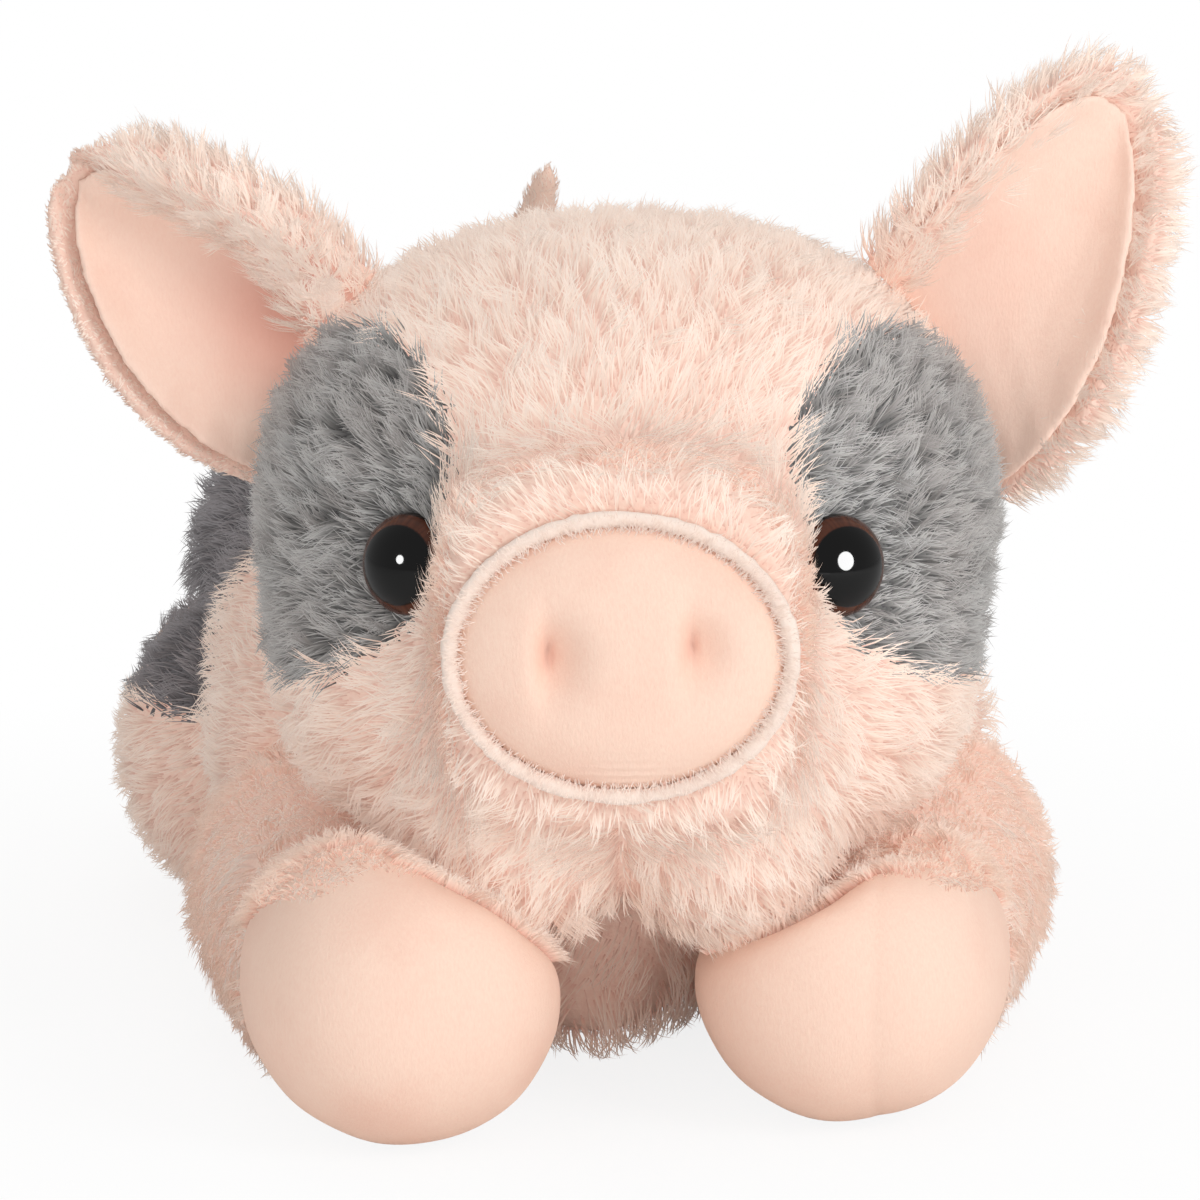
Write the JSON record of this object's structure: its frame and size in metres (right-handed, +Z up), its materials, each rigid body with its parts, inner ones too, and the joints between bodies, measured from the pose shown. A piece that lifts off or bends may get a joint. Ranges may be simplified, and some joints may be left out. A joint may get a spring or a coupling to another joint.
{
  "type": "plush pig",
  "caption": "Stuffed pig toy lying on its belly, with an oval velour snout, grey eye patches, upright ears, legs that swing out, a short tail and a head that turns and nods.",
  "frame": {"origin": "on the surface that the pig lies on, under the middle of its bounding box", "axes": "+Z up, -Y towards the snout, +X towards the pig's left side, which is on the right in the picture"},
  "size_m": [0.1771, 0.2745, 0.162],
  "materials": {
    "pink_pile": "long soft pile",
    "grey_pile": "long soft pile",
    "pink_velour": "short velour nap",
    "ear_velour": "short velour nap",
    "snout_seam": "rolled seam",
    "thread": "sewing thread",
    "eye_plastic": "gloss",
    "washer_plastic": "as moulded",
    "polyester_fibre": "loose fibre",
    "pellet_bag": "thin woven bag of pellets"
  },
  "bodies": {
    "torso": {"closing_seam": "thread", "saddle_panel": "grey_pile", "torso_filling": "polyester_fibre", "torso_pellet_bag": "pellet_bag", "torso_skin": "pink_pile"},
    "neck": {"neck_band": "pink_pile"},
    "head": {"chin_seam": "thread", "eye_left": "eye_plastic", "eye_panel_left": "grey_pile", "eye_panel_right": "grey_pile", "eye_right": "eye_plastic", "eye_washer_left": "washer_plastic", "eye_washer_right": "washer_plastic", "head_filling": "polyester_fibre", "head_skin": "pink_pile", "nostril_stitch_left": "thread", "nostril_stitch_right": "thread", "snout_disc": "pink_velour", "snout_rim": "snout_seam"},
    "ear_left": {"ear_back_left": "pink_pile", "ear_lining_left": "ear_velour"},
    "ear_right": {"ear_back_right": "pink_pile", "ear_lining_right": "ear_velour"},
    "front_leg_left": {"front_hoof_left": "pink_velour", "front_hoof_pellets_left": "pellet_bag", "front_leg_filling_left": "polyester_fibre", "front_leg_sleeve_left": "pink_pile"},
    "front_leg_right": {"front_hoof_right": "pink_velour", "front_hoof_pellets_right": "pellet_bag", "front_leg_filling_right": "polyester_fibre", "front_leg_sleeve_right": "pink_pile"},
    "hind_leg_left": {"hind_hoof_left": "pink_velour", "hind_hoof_pellets_left": "pellet_bag", "hind_leg_filling_left": "polyester_fibre", "hind_leg_sleeve_left": "pink_pile"},
    "hind_leg_right": {"hind_hoof_right": "pink_velour", "hind_hoof_pellets_right": "pellet_bag", "hind_leg_filling_right": "polyester_fibre", "hind_leg_sleeve_right": "pink_pile"},
    "tail": {"tail": "ear_velour"}
  },
  "joints": [
    {"name": "head_turn", "type": "hinge", "parent": "torso", "child": "neck", "pos_m": [0.003, -0.0603, 0.085], "axis": [0, 0, 1], "range_deg": [-12, 12], "stiffness_Nm_per_rad": 0.06},
    {"name": "head_nod", "type": "hinge", "parent": "neck", "child": "head", "pos_m": [0.003, -0.0603, 0.085], "axis": [-0.9877, 0.1564, 0], "range_deg": [0, 20]},
    {"name": "ear_left_flop", "type": "hinge", "parent": "head", "child": "ear_left", "pos_m": [-0.04828, -0.05015, 0.11278], "axis": [0.4637, -0.0734, 0.8829], "range_deg": [-20, 40], "stiffness_Nm_per_rad": 0.02},
    {"name": "ear_right_flop", "type": "hinge", "parent": "head", "child": "ear_right", "pos_m": [0.05491, -0.0665, 0.11278], "axis": [0.4637, -0.0734, -0.8829], "range_deg": [-20, 40], "stiffness_Nm_per_rad": 0.02},
    {"name": "front_leg_left_swing", "type": "hinge", "parent": "torso", "child": "front_leg_left", "pos_m": [-0.041, -0.0423, 0.02413], "axis": [0, 0, -1], "range_deg": [0, 35], "stiffness_Nm_per_rad": 0.03},
    {"name": "front_leg_right_swing", "type": "hinge", "parent": "torso", "child": "front_leg_right", "pos_m": [0.051, -0.0423, 0.02413], "axis": [0, 0, 1], "range_deg": [0, 35], "stiffness_Nm_per_rad": 0.03},
    {"name": "hind_leg_left_swing", "type": "hinge", "parent": "torso", "child": "hind_leg_left", "pos_m": [-0.044, 0.0537, 0.02703], "axis": [0, 0, 1], "range_deg": [0, 35], "stiffness_Nm_per_rad": 0.03},
    {"name": "hind_leg_right_swing", "type": "hinge", "parent": "torso", "child": "hind_leg_right", "pos_m": [0.044, 0.0537, 0.02703], "axis": [0, 0, -1], "range_deg": [0, 35], "stiffness_Nm_per_rad": 0.03},
    {"name": "tail_wag", "type": "hinge", "parent": "torso", "child": "tail", "pos_m": [0.00626, 0.10449, 0.09313], "axis": [0, 1, 0], "range_deg": [-30, 30], "stiffness_Nm_per_rad": 0.003}
  ]
}
